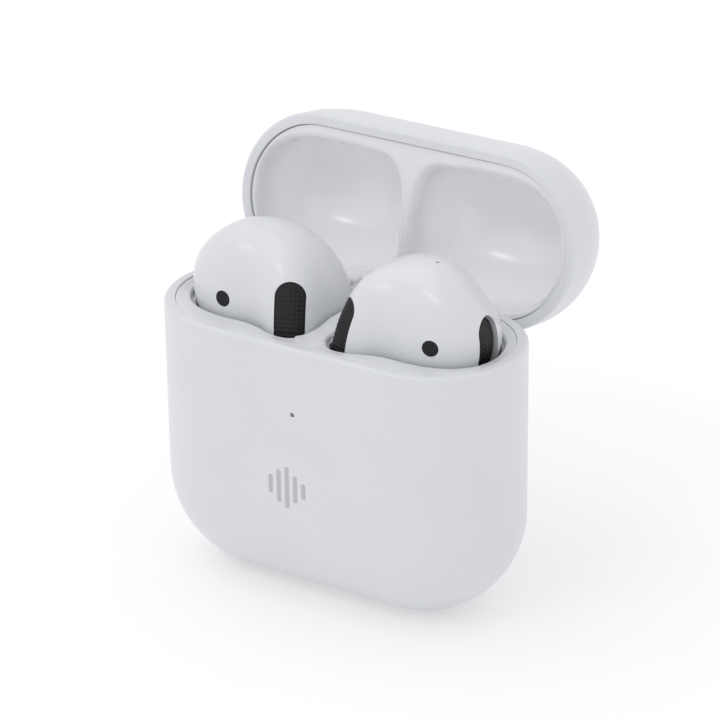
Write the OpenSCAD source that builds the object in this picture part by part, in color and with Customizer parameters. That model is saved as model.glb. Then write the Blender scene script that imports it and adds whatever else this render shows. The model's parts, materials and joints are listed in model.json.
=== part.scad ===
// Wireless earbuds case with its two earbuds: a pill-shaped charging case, lid open.
// Millimetres. Origin at the centre of the flat foot, +Z up, -Y the front, +Y the hinge side.

/* [Case] */
// Width of the case, side to side
case_w = 50; // [49.6:0.1:50.6]
// Depth of the case, front to back
case_d = 23.1; // [23.0:0.05:23.3]
// Height of the base, foot to rim
base_h = 36.6; // [36.5:0.05:36.8]
// Height of the closed case
closed_h = 53.4; // [53.2:0.1:54]
// Radius of the four corners, seen from the front
corner_r = 13.6; // [13.5:0.05:13.7]
// Thickness of the shells' walls
wall = 1.45; // [1.3:0.05:1.5]
// How far the foot is cut flat into the rounded bottom
foot_cut = 0.54; // [0.5:0.02:0.7]
// Angle that the lid stands open
lid_angle = 101; // [0:1:101]

/* [Hinge] */
// Height of the hinge's axis
hinge_z = 34.52; // [34.5:0.01:34.6]
// How far the hinge's axis lies in front of the back face
hinge_in = 1.27; // [1.26:0.01:1.3]
// Radius of the hinge pin
pin_r = 0.5; // [0.4:0.05:0.6]
// Radius of the knuckles round the pin
knuckle_r = 1.25; // [1.1:0.05:1.25]

/* [Earbuds] */
// Half the width of an earbud's head
head_a = 10.7; // [10.4:0.1:10.7]
// Half the depth of an earbud's head
head_b = 7.3; // [7.0:0.1:7.4]
// Half the height of an earbud's head
head_c = 9.5; // [9.2:0.1:9.6]
// Wall of an earbud's housings
bud_wall = 0.8; // [0.6:0.1:0.9]
// Radius of a stem
stem_r = 2.9; // [2.7:0.1:3.0]
// Sideways place of a stem, from the middle of the case
stem_x = 12; // [11.8:0.1:12.2]

/* [Controls] */
// Radius of the pairing button on the back
button_r = 2.2; // [2:0.1:2.4]
// Height of the pairing button
button_z = 21; // [20:0.5:22]
// Width of the charging socket's opening
port_w = 9.0; // [8.9:0.05:9.2]
// Depth of the charging socket's opening
port_d = 3.3; // [3.2:0.05:3.4]

/* [Hidden] */
$fn = 72;
SIDES = ["left", "right"];
PINS = ["inner", "outer"];

// Outer form: the corners turn about these centres, and a half-round edge runs all the way round
half_d = case_d / 2;
flat_in = corner_r - half_d;
corner_x = case_w / 2 - corner_r;
bottom_z = corner_r - foot_cut;
top_z = closed_h - corner_r;
end_x = corner_x + flat_in;

// Rims, gaps and insets
rim_gap = 0.1;
base_rim = base_h - rim_gap / 2;
lid_rim = base_h + rim_gap / 2;
inset = wall + 0.15;
deck_z = 35.9;
deck_bottom = 33;
liner_z = 37;
liner_t = 1.2;
bowl_at = [11.3, 0.3, 37.2];
bowl_half = [12.4, 9.5, 11.5];
ridge_w = 1;

// Hinge
hinge_y = half_d - hinge_in;
rim_sweep_r = lid_rim - hinge_z - rim_gap;
run_gap = 0.05;
lid_knuckle = [2.6, 5.4];
base_ear = [5.55, 7.4];
cam_r = 1.0;
notch_x = 7.8;
bracket_y = 9.0;
leaf_t = 0.16;

// Earbuds
head_at = [11.1, 1.3, 37];
head_turn = [0, -21, -18];
stem_y = 1.5;
stem_bottom = 7.4;
stem_top = 30;
pin_step = 1.25;
slot_w = 3.9;
slot_len = 8.5;
well_r = stem_r + 0.35;
well_wall_r = 4.0;
cup_gap = 0.35;

// Insides of the case
pcb_z = 8.4;
pcb_t = 0.8;
flex_t = 0.2;
flex_front_y = -9.4;
flex_rear_y = 7.4;
battery_z = [10.8, 25.4];
led_x = -0.36;
led_z = 27.5;
plunger_y = 8.9;
button_in = 9.6;
button_travel = 0.4;
magnet_w = 7;

// ---- outer form -------------------------------------------------------------------------------

// Section of the edge: flat faces, then a half circle
module edge_section(t) {
  intersection() {
    union() {
      translate([0, t - half_d]) square([flat_in, case_d - 2 * t]);
      translate([flat_in, 0]) circle(r = half_d - t, $fn = 96);
    }
    translate([0, -half_d]) square([corner_r, case_d]);
  }
}

// One corner of the form, a quarter turn of the section, towards +X and up
module corner(t) {
  rotate([90, 0, 0]) rotate_extrude(angle = 90, $fn = 96) edge_section(t);
}

// Plan of the case, inset by t
module plan(t) {
  translate([-end_x, t - half_d]) square([2 * end_x, case_d - 2 * t]);
  for (s = [-1, 1]) translate([s * end_x, 0]) circle(r = half_d - t, $fn = 96);
}

// The lower part of the form, from its rounded bottom up to z = top
module base_form(t, top) {
  for (s = [0, 1]) mirror([s, 0, 0]) translate([corner_x, 0, bottom_z]) mirror([0, 0, 1]) corner(t);
  translate([-corner_x, 0, bottom_z]) rotate([0, 90, 0]) linear_extrude(2 * corner_x) edge_section(t);
  translate([0, 0, bottom_z]) linear_extrude(top - bottom_z) plan(t);
}

// The upper part of the form, closed, from z = bottom up to its rounded top
module lid_form(t, bottom) {
  for (s = [0, 1]) mirror([s, 0, 0]) translate([corner_x, 0, top_z]) corner(t);
  translate([corner_x, 0, top_z]) rotate([0, -90, 0]) linear_extrude(2 * corner_x) edge_section(t);
  translate([0, 0, bottom]) linear_extrude(top_z - bottom) plan(t);
}

// Carries a piece of the lid from closed to the angle that it stands at
module lid_pose() {
  translate([0, hinge_y, hinge_z])
    rotate([-lid_angle, 0, 0])
      translate([0, -hinge_y, -hinge_z])
        children();
}

// ---- small helpers ----------------------------------------------------------------------------

// A block given by its lowest and highest corners
module block(low, high) {
  translate(low) cube(high - low);
}

// A block that spans the same distance to both sides of the middle
module centred_block(half_w, y, z) {
  block([-half_w, y[0], z[0]], [half_w, y[1], z[1]]);
}

// A rod along X between two places, on the hinge's axis
module hinge_rod(x, r) {
  translate([x[0], hinge_y, hinge_z]) rotate([0, 90, 0]) cylinder(r = r, h = x[1] - x[0]);
}

// A rod along Y
module rod_y(x, z, y, r) {
  translate([x, y[0], z]) rotate([-90, 0, 0]) cylinder(r = r, h = y[1] - y[0]);
}

// A flat oblong with round ends, wide along X, extruded upwards
module oblong(w, d, z) {
  translate([0, 0, z[0]]) linear_extrude(z[1] - z[0]) {
    square([w - d, d], center = true);
    for (s = [-1, 1]) translate([s * (w - d) / 2, 0]) circle(d = d);
  }
}

// Mirrors to the left side where asked: all the sided pieces are drawn on the right
module on_side(side) {
  mirror([side == "left" ? 1 : 0, 0, 0]) children();
}

// ---- base: shells and frame -------------------------------------------------------------------

module base_shell() {
  color([0.86, 0.87, 0.88]) difference() {
    base_form(0, base_rim);
    base_form(wall, base_h + 1);
    block([-case_w, -case_w, -5], [case_w, case_w, 0]);
    oblong(port_w + 0.2, port_d + 0.2, [-1, 3]);
    rod_y(led_x, led_z, [-half_d - 1, -half_d + 2], 0.32);
    rod_y(0, button_z, [half_d - 2, half_d + 1], button_r + 0.08);
    centred_block(notch_x, [hinge_y - 1, half_d + 1], [33, base_h + 1]);
    rim_relief();
  }
}

// The back rim is rounded about the hinge, so that the lid's rim can swing past it
module rim_relief() {
  difference() {
    centred_block(end_x + half_d, [hinge_y, half_d + 1], [hinge_z, base_h + 1]);
    hinge_rod([-case_w, case_w], rim_sweep_r);
  }
}

// Head of an earbud, grown by g on all sides
module head_form(g) {
  translate(head_at) rotate(head_turn) scale([head_a + g, head_b + g, head_c + g]) sphere(r = 1, $fn = 96);
}

// Space that lets a head be lifted straight out: the head, and its shadow upwards
module head_space() {
  tilt = -head_turn[1];
  shadow_a = sqrt(pow(head_a * cos(tilt), 2) + pow(head_c * sin(tilt), 2)) + cup_gap;
  drop = (pow(head_a, 2) - pow(head_c, 2)) * sin(tilt) * cos(tilt) / shadow_a;
  head_form(cup_gap);
  translate(head_at - [0, 0, drop])
    rotate(head_turn[2])
      scale([shadow_a, head_b + cup_gap, 1])
        cylinder(r = 1, h = 20);
}

module stem_well(r, z) {
  translate([stem_x, stem_y, z[0]]) cylinder(r = r, h = z[1] - z[0]);
}

module inner_frame() {
  color([0.84, 0.85, 0.86]) difference() {
    union() {
      translate([0, 0, deck_bottom]) linear_extrude(deck_z - deck_bottom) plan(inset);
      for (s = SIDES) on_side(s) {
        intersection() {
          head_form(cup_gap + 1);
          translate([0, 0, 20]) linear_extrude(14) plan(inset);
        }
        stem_well(well_wall_r, [6.2, 30]);
        translate([18.6, 1.3, 25.6]) cylinder(r = 2.7, h = deck_bottom - 25);
      }
      centred_block(base_ear[1], [6.9, 8.6], [28.4, deck_bottom + 1]);
    }
    for (s = SIDES) on_side(s) {
      head_space();
      stem_well(well_r, [7.1, 40]);
      for (p = [-1, 1]) translate([stem_x + p * pin_step, stem_y, 6]) cylinder(r = 0.6, h = 2);
      translate([18.6, 1.3, 25]) cylinder(r = 2.1, h = 2.2);
    }
    centred_block(notch_x, [8.6, half_d], [20, base_h]);
    centred_block(magnet_w / 2 + 0.05, [-9.65, -7.95], [deck_bottom - 1, deck_bottom + 2.1]);
    for (s = [-1, 1]) rod_y(3.5 * s, 30.5, [7.2, 9], 0.5);
  }
}

module base_magnet() {
  color([0.6, 0.6, 0.63]) centred_block(magnet_w / 2, [-9.6, -8.0], [deck_bottom, deck_bottom + 2]);
}

module bud_magnet(side) {
  color([0.6, 0.6, 0.63]) on_side(side) translate([18.6, 1.3, 25.6]) cylinder(r = 2.0, h = 1.5);
}

// Steel weight behind the front wall, which keeps the case standing with its lid open
module ballast(side) {
  color([0.7, 0.71, 0.73]) on_side(side) difference() {
    block([7.9, -9.9, 11], [15, -4.4, 25.4]);
    for (z = [14, 22.4]) rod_y(11.45, z, [-10, -4], 0.8);
  }
}

// ---- base: electronics ------------------------------------------------------------------------

module usb_shell() {
  color([0.75, 0.76, 0.78]) difference() {
    oblong(port_w - 0.06, port_d - 0.04, [0.35, 8.35]);
    oblong(port_w - 0.66, port_d - 0.64, [0, 7.4]);
  }
}

module usb_tongue() {
  color([0.12, 0.12, 0.13]) centred_block(3.3, [-0.35, 0.35], [1.4, 7.4]);
}

module main_pcb() {
  color([0.1, 0.35, 0.22]) centred_block(7.4, [-6.5, 6.5], [pcb_z, pcb_z + pcb_t]);
}

module pcb_chips() {
  top = pcb_z + pcb_t;
  color([0.1, 0.1, 0.11]) {
    block([-6, 0.6, top], [-2, 4.6, top + 0.9]);
    block([2.2, 1.2, top], [5.6, 4.2, top + 0.8]);
    block([3.2, -4.6, top], [6.4, -2.4, top + 1.0]);
    block([-6.2, -4.4, top], [-4.4, -1.2, top + 0.7]);
  }
}

// Ribbon up one wall, from the board's edge
module wall_flex(y, edge_y, top) {
  centred_block(2, [y, y + flex_t], [pcb_z, top]);
  centred_block(2, [min(y + flex_t, edge_y), max(y, edge_y)], [pcb_z, pcb_z + flex_t]);
}

module front_flex() {
  color([0.75, 0.45, 0.12]) wall_flex(flex_front_y, -6.5, 31);
}

module rear_flex() {
  color([0.75, 0.45, 0.12]) wall_flex(flex_rear_y, 6.5, button_z + 3);
}

module status_led() {
  color([0.95, 0.93, 0.8]) translate([led_x - 0.5, flex_front_y - 0.4, led_z - 0.4]) cube([1, 0.4, 0.8]);
}

module light_pipe() {
  color([0.5, 0.5, 0.5]) rod_y(led_x, led_z, [-half_d + 0.15, flex_front_y - 0.45], 0.3);
}

module hall_sensor() {
  y = flex_front_y + flex_t;
  color([0.1, 0.1, 0.11]) centred_block(0.8, [y, y + 0.7], [28.9, 30.2]);
}

module tact_switch() {
  y = flex_rear_y + flex_t;
  color([0.15, 0.15, 0.16]) difference() {
    centred_block(1.9, [y, 9.0], [button_z - 1.9, button_z + 1.9]);
    rod_y(0, button_z, [plunger_y - button_travel - 0.1, 10], 0.75);
  }
}

module switch_plunger() {
  color([0.8, 0.2, 0.15]) rod_y(0, button_z, [plunger_y, button_in], 0.7);
}

module pairing_button() {
  color([0.86, 0.87, 0.88]) {
    rod_y(0, button_z, [10.02, half_d - 0.08], button_r);
    rod_y(0, button_z, [button_in, 10.02], button_r + 0.6);
  }
}

// Pouch cell, its upright edges rounded
module case_battery() {
  color([0.62, 0.64, 0.67]) translate([0, 0, battery_z[0]])
    linear_extrude(battery_z[1] - battery_z[0]) {
      square([13, 6.4], center = true);
      square([11, 8.4], center = true);
      for (x = [-5.5, 5.5], y = [-3.2, 3.2]) translate([x, y]) circle(r = 1);
    }
}

// Lead from the top of the cell, over its edge and down to the board
module battery_lead(x) {
  r = 0.35;
  bend = 0.8;
  top = battery_z[1] + 0.6;
  y = -5.2;
  translate([x, y, pcb_z + pcb_t]) cylinder(r = r, h = top - bend - pcb_z - pcb_t);
  translate([x, y + bend, top - bend])
    rotate([0, -90, 0]) rotate([0, 0, 180]) mirror([1, 0, 0])
      rotate_extrude(angle = 90) translate([bend, 0]) circle(r = r, $fn = 24);
  rod_y(x, top, [y + bend, -2.6], r);
}

module battery_lead_red() {
  color([0.8, 0.1, 0.1]) battery_lead(1.2);
}

module battery_lead_black() {
  color([0.1, 0.1, 0.1]) battery_lead(-1.2);
}

module pogo_flex() {
  color([0.75, 0.45, 0.12]) for (s = SIDES) on_side(s) {
    block([7.4, 0.4, 2.5], [7.6, 2.6, pcb_z + pcb_t]);
    block([7.6, 0.4, 2.5], [14.6, 2.6, 2.7]);
  }
}

module pogo_housing(side) {
  color([0.13, 0.13, 0.14]) on_side(side) difference() {
    block([stem_x - 3, stem_y - 1.6, 2.7], [stem_x + 3, stem_y + 1.6, 6.2]);
    for (p = [-1, 1]) translate([stem_x + p * pin_step, stem_y, 3]) cylinder(r = 0.45, h = 4);
  }
}

// Spring contact, which stands up through the floor of the well
module pogo_pin(side, place) {
  x = stem_x + (place == "inner" ? -pin_step : pin_step);
  color([0.85, 0.68, 0.3]) on_side(side) translate([x, stem_y, 3.6]) {
    cylinder(r = 0.4, h = 3.5);
    translate([0, 0, 3.5]) cylinder(r1 = 0.4, r2 = 0.2, h = 0.25);
  }
}

// ---- hinge ------------------------------------------------------------------------------------

module hinge_pin() {
  color([0.78, 0.79, 0.8]) hinge_rod([-base_ear[1], base_ear[1]], pin_r);
}

module hinge_bracket_base() {
  color([0.7, 0.71, 0.73]) difference() {
    union() {
      centred_block(base_ear[1], [8.65, 9.45], [28.6, 33.1]);
      for (s = [0, 1]) mirror([s, 0, 0]) {
        hinge_rod(base_ear, knuckle_r);
        block([base_ear[0], 8.65, 28.6], [base_ear[1], 9.9, hinge_z]);
      }
    }
    hinge_rod([-case_w, case_w], pin_r + 0.01);
    for (s = [-1, 1]) rod_y(3.5 * s, 30.5, [8, 10], 0.55);
  }
}

// Leaf that presses on the lid's cam and holds the lid open or shut
module hinge_spring() {
  leaf_z = hinge_z - cam_r - 0.05;
  color([0.78, 0.79, 0.8]) {
    centred_block(2.2, [9.45, 9.45 + leaf_t], [29.5, leaf_z]);
    centred_block(2.2, [9.45 + leaf_t, 11.0], [leaf_z - leaf_t, leaf_z]);
  }
}

// Small cross-head screw along Y: its head faces dir, its shank goes the other way
module small_screw(x, z, face_y, dir, shank) {
  translate([x, face_y, z]) rotate([-90 * dir, 0, 0]) difference() {
    union() {
      cylinder(r = 0.95, h = 0.5);
      translate([0, 0, -shank]) cylinder(r = 0.49, h = shank);
    }
    for (a = [0, 90]) rotate(a) translate([-0.6, -0.12, 0.25]) cube([1.2, 0.24, 1]);
  }
}

module hinge_screws_base() {
  color([0.45, 0.46, 0.48]) for (s = [-1, 1]) small_screw(3.5 * s, 30.5, 9.45, 1, 2.1);
}

module hinge_bracket_lid() {
  color([0.7, 0.71, 0.73]) lid_pose() difference() {
    union() {
      hinge_rod([-lid_knuckle[1], lid_knuckle[1]], cam_r);
      for (s = [0, 1]) mirror([s, 0, 0]) {
        hinge_rod(lid_knuckle, knuckle_r);
        block([lid_knuckle[0], bracket_y + 0.1, hinge_z], [lid_knuckle[1], bracket_y + 1, 38]);
      }
      centred_block(lid_knuckle[1], [bracket_y + 0.1, bracket_y + 1], [37.2, 42.4]);
    }
    hinge_rod([-case_w, case_w], pin_r + run_gap);
    for (s = [-1, 1]) rod_y(1.5 * s, 40.5, [8, 11], 0.55);
  }
}

module hinge_screws_lid() {
  color([0.45, 0.46, 0.48]) lid_pose()
    for (s = [-1, 1]) small_screw(1.5 * s, 40.5, bracket_y + 0.1, -1, 1.7);
}

// ---- lid --------------------------------------------------------------------------------------

module lid_shell() {
  color([0.82, 0.82, 0.83]) lid_pose() difference() {
    lid_form(0, lid_rim);
    lid_form(wall, lid_rim - 1);
    for (s = [-1, 1]) rod_y(1.5 * s, 40.5, [9, 10.95], 0.5);
  }
}

// Bowl over one head, grown by g
module bowl(g) {
  translate(bowl_at) scale([for (h = bowl_half) h + g]) sphere(r = 1, $fn = 96);
}

module lid_liner() {
  color([0.87, 0.88, 0.89]) lid_pose() difference() {
    union() {
      translate([0, 0, liner_z]) linear_extrude(liner_t) plan(inset);
      for (s = SIDES) on_side(s) intersection() {
        bowl(0.9);
        lid_form(inset, liner_z);
        translate([0, 0, liner_z]) linear_extrude(20) translate([0, -half_d]) square([case_w, case_d]);
      }
    }
    for (s = SIDES) on_side(s) intersection() {
      bowl(0);
      lid_form(inset + 0.6, liner_z - 2);
      block([ridge_w / 2, -half_d, liner_z - 2], [case_w, half_d, closed_h]);
    }
    centred_block(5.5, [8.95, half_d], [36, 44]);
    centred_block(2.7, [8.5, half_d], [39.3, 41.7]);
  }
}

module lid_magnet() {
  z = liner_z + liner_t + 0.05;
  color([0.6, 0.6, 0.63]) lid_pose() centred_block(magnet_w / 2 - 1, [-9.4, -7.8], [z, z + 2]);
}

// ---- earbuds ----------------------------------------------------------------------------------

// Puts a piece at a place on the head, its +Z out along the direction given as turns
module at_face(p, turn) {
  translate(p) rotate(turn) children();
}

// Places on the right head: the two slots and the sensor's window
module at_inner_slot() {
  at_face([5.2, -3.6, 37.6], [90, 0, -34]) children();
}

module at_outer_slot() {
  at_face([20.6, 0.2, 37.6], [90, 0, 90]) children();
}

module at_window() {
  at_face([15.1, -6.1, 38.2], [90, 0, 8]) children();
}

// Oblong standing upright, from depth z[0] to z[1]
module slot_block(w, z) {
  rotate(90) oblong(slot_len + w - slot_w, w, z);
}

module head_hollow() {
  head_form(-bud_wall);
}

// Half of the head's shell: front of its seam for side = -1, behind it for side = 1
module half_head(side) {
  intersection() {
    head_form(0);
    translate(head_at) rotate(head_turn)
      translate([-20, side > 0 ? 0 : -20, -20]) cube([40, 20, 40]);
  }
}

module head_front(side) {
  color([0.86, 0.87, 0.88]) on_side(side) difference() {
    half_head(-1);
    head_hollow();
    stem_well(stem_r, [0, 40]);
    at_inner_slot() slot_block(slot_w, [-3, 5]);
    at_window() translate([0, 0, -3]) cylinder(r = 1.05, h = 8);
    at_outer_slot() slot_block(slot_w - 1.2, [-3, 5]);
  }
}

module stem_housing(side) {
  color([0.86, 0.87, 0.88]) on_side(side) difference() {
    union() {
      half_head(1);
      stem_well(stem_r, [stem_bottom + 1.2, stem_top]);
    }
    head_hollow();
    stem_well(stem_r - bud_wall, [0, stem_top + 4]);
    at_outer_slot() slot_block(slot_w - 1.2, [-3, 5]);
  }
}

// Mesh insert: the part of an oblong plug that lies within the housing's wall
module grille(w) {
  difference() {
    intersection() {
      head_form(-0.1);
      children();
    }
    head_hollow();
  }
}

module inner_grille(side) {
  color([0.08, 0.08, 0.09]) on_side(side) difference() {
    grille() at_inner_slot() slot_block(slot_w - 0.04, [-3, 5]);
    translate(head_at) rotate(head_turn) translate([-20, 0, -20]) cube([40, 20, 40]);
    stem_well(stem_r + 0.02, [0, 40]);
  }
}

module outer_grille(side) {
  color([0.08, 0.08, 0.09]) on_side(side) grille() at_outer_slot() slot_block(slot_w - 1.24, [-3, 5]);
}

module sensor_window(side) {
  color([0.05, 0.05, 0.06]) on_side(side)
    grille() at_window() translate([0, 0, -3]) cylinder(r = 1.02, h = 8);
}

// Speaker driver: a stepped drum facing the front half of the head
module speaker(side) {
  color([0.55, 0.55, 0.57]) on_side(side) translate(head_at) rotate(head_turn) rotate([90, 0, 0]) {
    translate([0, 0, 1.2]) cylinder(r = 5.2, h = 1.6);
    translate([0, 0, 2.8]) cylinder(r = 4.4, h = 0.9);
  }
}

module bud_pcb(side) {
  color([0.1, 0.35, 0.22]) on_side(side) translate(head_at) rotate(head_turn) {
    translate([-5, 0.2, -3.6]) cube([10, 0.7, 8.4]);
    translate([-3.2, 0.9, -1.2]) cube([4, 0.8, 3.6]);
    translate([1.8, 0.9, 0.4]) cube([2, 0.6, 2]);
  }
}

module bud_battery(side) {
  color([0.62, 0.64, 0.67]) on_side(side) translate([stem_x, stem_y, 11]) cylinder(r = 1.9, h = 17);
}

module stem_cap(side) {
  color([0.75, 0.76, 0.78]) on_side(side) translate([stem_x, stem_y, 0]) difference() {
    union() {
      translate([0, 0, stem_bottom + 0.1]) cylinder(r = stem_r, h = 1.1);
      translate([0, 0, stem_bottom + 1.2]) cylinder(r = stem_r - bud_wall - 0.02, h = 1.4);
    }
    for (p = [-1, 1]) translate([p * pin_step, 0, 0]) cylinder(r = 0.72, h = stem_bottom + 1);
    translate([0, 1.9, 0]) cylinder(r = 0.3, h = 20);
  }
}

module contacts(side) {
  color([0.85, 0.68, 0.3]) on_side(side) for (p = [-1, 1])
    translate([stem_x + p * pin_step, stem_y, stem_bottom]) cylinder(r = 0.7, h = 1.0);
}

// ---- assembly ---------------------------------------------------------------------------------

base_shell();
inner_frame();
usb_shell();
usb_tongue();
main_pcb();
pcb_chips();
front_flex();
status_led();
light_pipe();
hall_sensor();
rear_flex();
tact_switch();
case_battery();
battery_lead_red();
battery_lead_black();
pogo_flex();
base_magnet();
hinge_bracket_base();
hinge_pin();
hinge_spring();
hinge_screws_base();
pairing_button();
switch_plunger();
lid_shell();
lid_liner();
lid_magnet();
hinge_bracket_lid();
hinge_screws_lid();
for (s = SIDES) {
  bud_magnet(s);
  ballast(s);
  pogo_housing(s);
  for (p = PINS) pogo_pin(s, p);
  head_front(s);
  stem_housing(s);
  speaker(s);
  inner_grille(s);
  outer_grille(s);
  sensor_window(s);
  bud_pcb(s);
  bud_battery(s);
  stem_cap(s);
  contacts(s);
}
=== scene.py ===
"""Looks of the wireless earbuds case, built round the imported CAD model.

Metres, in the CAD's frame: +Z up out of the foot, -Y the front, +Y the hinge side. Shapes are worked
out in millimetres and scaled when their mesh is made. The lid's pieces are drawn closed and then
swung open.
"""
import json
import math

import bmesh
import bpy
import numpy as np
from mathutils import Matrix, Vector
from mathutils.bvhtree import BVHTree


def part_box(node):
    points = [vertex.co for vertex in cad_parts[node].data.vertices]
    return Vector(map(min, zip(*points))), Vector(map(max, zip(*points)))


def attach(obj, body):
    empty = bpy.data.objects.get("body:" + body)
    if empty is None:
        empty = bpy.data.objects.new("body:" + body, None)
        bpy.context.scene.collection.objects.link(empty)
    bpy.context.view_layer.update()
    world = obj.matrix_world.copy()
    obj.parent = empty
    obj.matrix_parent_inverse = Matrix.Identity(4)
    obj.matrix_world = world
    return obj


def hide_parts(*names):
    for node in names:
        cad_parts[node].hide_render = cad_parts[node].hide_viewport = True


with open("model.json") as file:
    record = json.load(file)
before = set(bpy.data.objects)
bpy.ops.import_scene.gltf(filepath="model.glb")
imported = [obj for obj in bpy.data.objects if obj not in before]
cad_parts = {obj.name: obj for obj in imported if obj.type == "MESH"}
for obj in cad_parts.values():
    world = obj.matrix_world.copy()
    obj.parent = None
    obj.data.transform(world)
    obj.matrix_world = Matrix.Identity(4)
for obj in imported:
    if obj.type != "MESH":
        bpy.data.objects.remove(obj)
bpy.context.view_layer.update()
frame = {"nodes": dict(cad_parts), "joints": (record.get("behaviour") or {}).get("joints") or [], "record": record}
MM = 0.001
SIDES = ("left", "right")

# ---- sizes, in millimetres ----------------------------------------------------------------------


def box_mm(node):
    """Lowest and highest corner of a CAD node, in millimetres."""
    low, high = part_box(node)
    return low / MM, high / MM


SHELL_HIGH = box_mm("base_shell")[1]
HALF_W = SHELL_HIGH.x
HALF_D = SHELL_HIGH.y
BASE_RIM = SHELL_HIGH.z
CLOSED_H = 53.4
CORNER_R = 13.6
FOOT_CUT = 0.54
WALL = 1.45
INSET = WALL + 0.08
TRAY_INSET = WALL + 0.02
LID_RIM = BASE_RIM + 0.1

CORNER_X = HALF_W - CORNER_R
FLAT_IN = CORNER_R - HALF_D
END_X = CORNER_X + FLAT_IN
BOTTOM_Z = CORNER_R - FOOT_CUT
TOP_Z = CLOSED_H - CORNER_R

JOINTS = {joint["name"]: joint for joint in frame["joints"]}
HINGE = Vector(JOINTS["lid_hinge"]["pos_m"]) / MM
LID_ANGLE = -JOINTS["lid_hinge"]["range_deg"][0]

LINER_Z = 37.0

STEM_AT = np.array([12.0, 1.5])
STEM_R = 2.9
STEM_FOOT = 8.6
STEM_TOP = 28.5
WELL_R = STEM_R + 0.35
CUP_GAP = 0.3
CUP_ROOM = 0.9
HINGE_GAP = 0.4

# ---- mesh helpers -------------------------------------------------------------------------------


def make_object(name, verts_mm, faces, material, smooth_angle=30.0):
    """A mesh object from points in millimetres, smooth-shaded but for edges sharper than the angle."""
    mesh = bpy.data.meshes.new(name)
    mesh.from_pydata([tuple(MM * float(c) for c in v) for v in verts_mm], [], faces)
    mesh.validate()
    obj = bpy.data.objects.new(name, mesh)
    bpy.context.scene.collection.objects.link(obj)
    obj.data.materials.append(material)
    tidy_normals(obj, smooth_angle)
    return obj


def tidy_normals(obj, smooth_angle):
    """Turns all faces outwards, then smooths."""
    bm = bmesh.new()
    bm.from_mesh(obj.data)
    bmesh.ops.remove_doubles(bm, verts=bm.verts, dist=1e-7)
    bmesh.ops.recalc_face_normals(bm, faces=bm.faces)
    limit = math.radians(smooth_angle)
    for face in bm.faces:
        face.smooth = True
    for edge in bm.edges:
        edge.smooth = len(edge.link_faces) == 2 and edge.calc_face_angle(0.0) < limit
    bm.to_mesh(obj.data)
    bm.free()


def apply_modifiers(obj):
    """Replaces the object's mesh by what its modifiers make of it."""
    evaluated = obj.evaluated_get(bpy.context.evaluated_depsgraph_get())
    mesh = bpy.data.meshes.new_from_object(evaluated)
    obj.modifiers.clear()
    obj.data = mesh


def cut(obj, cutters, smooth_angle=30.0, operation="DIFFERENCE"):
    """Cuts each cutter out of the object, and deletes the cutters."""
    for cutter in cutters:
        modifier = obj.modifiers.new("cut", "BOOLEAN")
        modifier.operation = operation
        modifier.solver = "EXACT"
        modifier.object = cutter
    bpy.context.view_layer.update()
    apply_modifiers(obj)
    for cutter in cutters:
        bpy.data.objects.remove(cutter)
    while len(obj.data.materials) > 1:
        obj.data.materials.pop(index=len(obj.data.materials) - 1)
    tidy_normals(obj, smooth_angle)
    return obj


def weight_normals(obj):
    """Lets the large flat faces keep their own normal where they meet a round edge."""
    modifier = obj.modifiers.new("weights", "WEIGHTED_NORMAL")
    modifier.keep_sharp = True
    modifier.weight = 100
    return obj


def prism(name, outline, start, end, place=Matrix.Identity(4)):
    """A closed prism: an outline in XY extruded from Z = start to end, then placed. Millimetres."""
    count = len(outline)
    verts = [place @ Vector((x, y, z)) for z in (start, end) for x, y in outline]
    faces = [tuple(range(count - 1, -1, -1)), tuple(range(count, 2 * count))]
    faces += [(i, (i + 1) % count, count + (i + 1) % count, count + i) for i in range(count)]
    return make_object(name, verts, faces, PLAIN)


def oblong(width, depth, steps=24):
    """Outline of a slot with round ends, long along X."""
    radius = depth / 2
    reach = width / 2 - radius
    turns = [math.pi * (i / steps - 0.5) for i in range(steps + 1)]
    right = [(reach + radius * math.cos(a), radius * math.sin(a)) for a in turns]
    left = [(-x, -y) for x, y in right]
    return right + left


def circle(radius, steps=48):
    """Outline of a circle."""
    return [(radius * math.cos(2 * math.pi * i / steps), radius * math.sin(2 * math.pi * i / steps))
            for i in range(steps)]


def lathe(name, profile, centre, material, steps=64, smooth_angle=30.0):
    """Turns a profile of (radius, z) about a vertical axis. A radius of 0 closes an end."""
    verts, rings = [], []
    for radius, z in profile:
        if radius == 0:
            rings.append([len(verts)])
            verts.append((centre[0], centre[1], z))
            continue
        rings.append(list(range(len(verts), len(verts) + steps)))
        for i in range(steps):
            a = 2 * math.pi * i / steps
            verts.append((centre[0] + radius * math.cos(a), centre[1] + radius * math.sin(a), z))
    faces = []
    for low, high in zip(rings, rings[1:]):
        for i in range(steps):
            j = (i + 1) % steps
            loop = [low[i % len(low)], low[j % len(low)], high[j % len(high)], high[i % len(high)]]
            faces.append(tuple(dict.fromkeys(loop)))
    return make_object(name, verts, faces, material, smooth_angle)


def fillet(radius, steps=8):
    """A quarter round as (inset, drop) pairs, from its upright end to its level end."""
    turns = [0.5 * math.pi * i / steps for i in range(steps + 1)]
    return [(radius * (1 - math.cos(a)), radius * (1 - math.sin(a))) for a in turns]


def swing_open(obj):
    """Carries a piece drawn on the closed lid to where the lid stands at rest."""
    turn = Matrix.Rotation(-math.radians(LID_ANGLE), 4, "X")
    pivot = Matrix.Translation(HINGE * MM)
    obj.data.transform(pivot @ turn @ pivot.inverted())
    return obj


def smooth_step(t):
    """0 to 1 with a level start and end."""
    t = np.clip(t, 0.0, 1.0)
    return t * t * (3 - 2 * t)


# ---- materials ----------------------------------------------------------------------------------


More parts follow.
